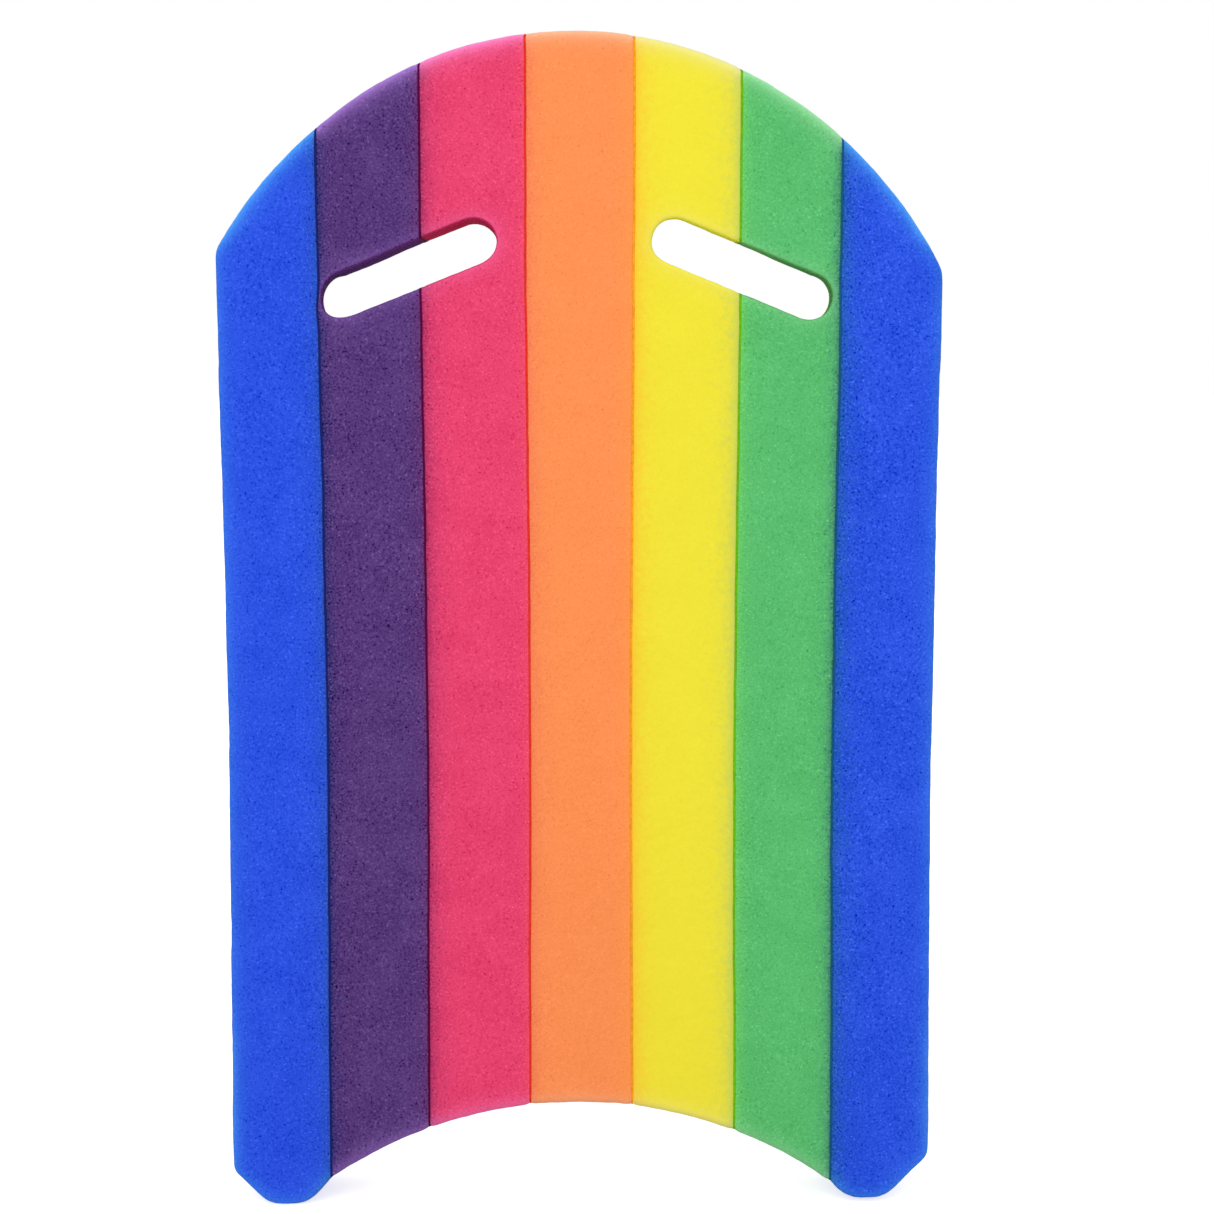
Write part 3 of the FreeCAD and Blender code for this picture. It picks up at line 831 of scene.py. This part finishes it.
def painted_rim_highlight(graph):
    """How much painted highlight the foam takes: most at the nose's rim, less at the other rims, round
    the slots and on the back.
    """
    place = graph.node("ShaderNodeSeparateXYZ")
    graph.feed(place.inputs[0], graph.place())
    height = place.outputs["Z"]
    strength = graph.math("ADD", graph.ramp(height, *HIGHLIGHT_TAIL_BAND, RIM_HIGHLIGHT_TAIL, RIM_HIGHLIGHT_FLANK),
                          graph.ramp(height, *HIGHLIGHT_NOSE_BAND, 0.0, 1.0 - RIM_HIGHLIGHT_FLANK))
    back = graph.ramp(place.outputs["Y"], *HIGHLIGHT_BACK_BAND, 1.0, RIM_HIGHLIGHT_BACK)
    strength = graph.math("MULTIPLY", strength, back)
    rim = graph.math("MULTIPLY", fade(graph, graph.attribute("rim"), RIM_HIGHLIGHT_REACH), strength)
    slot = graph.math("MULTIPLY", fade(graph, graph.attribute("slot"), RIM_HIGHLIGHT_REACH), RIM_HIGHLIGHT_SLOT)
    return graph.math("MAXIMUM", rim, slot)


def step_size(colour):
    """How much one step of display brightness is for this colour, in each channel of linear light."""
    above = tone(*(value + 0.5 for value in colour))
    below = tone(*(value - 0.5 for value in colour))
    return [high - low for high, low in zip(above[:3], below[:3])]


def peaky(graph, noise):
    """Noise from 0 to 1 as calm grain from -1 to 1 with a few sharp peaks."""
    low, high = NOISE_BAND
    half = (high - low) / 2
    value = graph.math("MULTIPLY_ADD", noise, 1.0 / half, -(low + half) / half)
    square = graph.math("MULTIPLY", value, value)
    gain = graph.math("MULTIPLY_ADD", square, GRAIN_PEAK, GRAIN_CALM)
    return graph.math("MULTIPLY", value, gain)


def foam_material(node, foam, seed):
    """Closed-cell foam: grained by its cells, with pits and flecks, and cloudy in the large."""
    graph = Graph("foam_" + node)
    place = graph.place(FOAM_SHIFT * seed)
    cells = graph.noise(place, CELL)
    clouds = graph.ramp(graph.noise(place, CLOUD), *NOISE_BAND, -foam.cloud, foam.cloud)
    pits = graph.specks(place, PITS)
    fleck_place = graph.place((FLECK_SHIFT[0] + seed, FLECK_SHIFT[1], FLECK_SHIFT[2]))
    flecks = graph.specks(fleck_place, FLECKS)

    colour = tone(*foam.base)
    crumble = 1.0
    for name, edge in (("low_seam", foam.low_edge), ("high_seam", foam.high_edge)):
        if edge:
            gap = graph.attribute(name)
            colour = tint_edge(graph, colour, gap, edge, seed)
            crumble = graph.math("MULTIPLY_ADD", fade(graph, gap, CRUMBLE_REACH), CRUMBLE, crumble)
    # Painted highlight: the rims are made paler, most on the nose and on the front.
    colour = graph.mix(painted_rim_highlight(graph), colour, tone(*foam.rim))
    colour = graph.mix(graph.ramp(graph.attribute("cut"), CUT_BAND, 0.0), colour, tone(*foam.cut))
    steps = graph.math("MULTIPLY", peaky(graph, cells), foam.grain)
    steps = graph.math("MULTIPLY_ADD", pits, PITS.strength * foam.grain, steps)
    steps = graph.math("MULTIPLY_ADD", flecks, FLECKS.strength * foam.grain, steps)
    steps = graph.math("MULTIPLY", steps, crumble)
    steps = graph.math("ADD", steps, clouds)
    colour = graph.vector("MULTIPLY_ADD", steps, step_size(foam.base), colour)

    graph.feed(graph.shader.inputs["Base Color"], colour)
    graph.feed(graph.shader.inputs["Roughness"], graph.ramp(cells, *WIDE_BAND, FOAM_ROUGHNESS, 1.0))
    graph.shader.inputs["Specular IOR Level"].default_value = FOAM_SHINE
    graph.bump(graph.math("SUBTRACT", cells, graph.math("MULTIPLY", pits, PIT_BUMP)), FOAM_BUMP)
    return graph.material


def bead_material(node, colour, seed):
    """Melted foam along a weld: a little blotchy, and smoother than the planks. On the dark seams its
    colour also carries painted shade of the groove.
    """
    graph = Graph("bead_" + node)
    place = graph.place((BEAD_SHIFT[0] * seed, BEAD_SHIFT[1], BEAD_SHIFT[2] * seed))
    blotches = graph.noise(place, BLOTCH, BLOTCH_DETAIL)
    dark = (BEAD_DARK * value for value in colour)
    mixed = graph.mix(graph.ramp(blotches, *NOISE_BAND), tone(*dark), tone(*colour))
    graph.feed(graph.shader.inputs["Base Color"], mixed)
    graph.feed(graph.shader.inputs["Roughness"], graph.ramp(blotches, *NOISE_BAND, *BEAD_ROUGHNESS))
    graph.shader.inputs["Specular IOR Level"].default_value = FOAM_SHINE
    graph.bump(blotches, BEAD_BUMP)
    return graph.material


def dress(made, node, material):
    """Gives a new piece its material and its place on the board."""
    made.data.materials.append(material)
    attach(made, "root")
    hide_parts(node)


def build_board():
    """All planks, from left to right, and the welds between them."""
    names = sorted(FOAMS, key=lambda node: box_mm(node)[0][0])
    for seed, node in enumerate(names):
        low, high = box_mm(node)
        plank = Plank(node, low[0] if seed else None, high[0] if seed + 1 < len(names) else None)
        dress(build_plank(plank), node, foam_material(node, FOAMS[node], seed))
    for seed, node in enumerate(BEAD_MELT_AND_SHADE_COLOURS):
        dress(build_weld(node), node, bead_material(node, BEAD_MELT_AND_SHADE_COLOURS[node], seed))


# --- Floor, light and camera, in metres -------------------------------------------------------------
FLOOR_SIZE = 30.0
FLOOR_PATCH = 400.0       # size of the floor's faint patches, in millimetres
FLOOR_TONES = (228, 232)
FLOOR_ROUGHNESS = 0.9
CAMERA_PLACE = (0.0017, -0.9615, 0.3567)
CAMERA_PITCH = 6.4        # degrees down from level
CAMERA_TURN = 0.551       # degrees towards +X
CAMERA_LENS = 69.43       # millimetres, on this width of sensor
CAMERA_SENSOR = 36.0
CAMERA_NEAREST = 0.01
SKY_LIGHT = 0.73          # the sky lights the board with this, and the camera sees it as 1
KEY_PLACE = (-0.35, -2.1, 2.0)
KEY_SIZE = 1.8
KEY_POWER = 30.0
FLOOR_GLOW = 0.7          # the camera sees the floor this much brighter than the light makes it


def build_floor():
    """A pale floor that the light washes out to the white of the backdrop."""
    bpy.ops.mesh.primitive_plane_add(size=FLOOR_SIZE, location=(0.0, 0.0, CAD_BOX[0].z))
    floor = bpy.context.object
    floor.name = "floor"
    graph = Graph("floor_white")
    low, high = (tone(value, value, value) for value in FLOOR_TONES)
    pale = graph.mix(graph.noise(graph.place(), FLOOR_PATCH), low, high)
    graph.feed(graph.shader.inputs["Base Color"], pale)
    graph.shader.inputs["Roughness"].default_value = FLOOR_ROUGHNESS
    graph.shader.inputs["Specular IOR Level"].default_value = 0.0
    graph.shader.inputs["Emission Color"].default_value = (1.0, 1.0, 1.0, 1.0)
    seen = graph.node("ShaderNodeLightPath").outputs["Is Camera Ray"]
    graph.feed(graph.shader.inputs["Emission Strength"], graph.math("MULTIPLY", seen, FLOOR_GLOW))
    floor.data.materials.append(graph.material)


def build_sky():
    """An even studio sky that the camera sees as plain white."""
    world = bpy.data.worlds.new("studio")
    bpy.context.scene.world = world
    world.use_nodes = True
    tree = world.node_tree
    background = tree.nodes["Background"]
    path = tree.nodes.new("ShaderNodeLightPath")
    strength = tree.nodes.new("ShaderNodeMapRange")
    strength.inputs["To Min"].default_value = SKY_LIGHT
    strength.inputs["To Max"].default_value = 1.0
    tree.links.new(path.outputs["Is Camera Ray"], strength.inputs["Value"])
    tree.links.new(strength.outputs["Result"], background.inputs["Strength"])
    background.inputs["Color"].default_value = (1.0, 1.0, 1.0, 1.0)


def build_softbox(name, place, size, power):
    """A large soft lamp aimed at the middle of the board."""
    lamp = bpy.data.lights.new(name, "AREA")
    lamp.size = size
    lamp.energy = power
    made = bpy.data.objects.new(name, lamp)
    bpy.context.scene.collection.objects.link(made)
    made.location = place
    middle = (CAD_BOX[0] + CAD_BOX[1]) / 2
    made.rotation_euler = (middle - Vector(place)).to_track_quat("-Z", "Y").to_euler()


def build_camera():
    """The camera, a little above the board's middle and looking slightly down at it."""
    camera = bpy.data.objects.new("camera", bpy.data.cameras.new("camera"))
    bpy.context.scene.collection.objects.link(camera)
    camera.location = CAMERA_PLACE
    camera.rotation_euler = (math.radians(90.0 - CAMERA_PITCH), 0.0, math.radians(-CAMERA_TURN))
    camera.data.lens = CAMERA_LENS
    camera.data.sensor_width = CAMERA_SENSOR
    camera.data.clip_start = CAMERA_NEAREST
    bpy.context.scene.camera = camera


build_board()
build_floor()
build_sky()
build_softbox("key", KEY_PLACE, KEY_SIZE, KEY_POWER)
build_camera()
bpy.context.scene.view_settings.view_transform = "Standard"
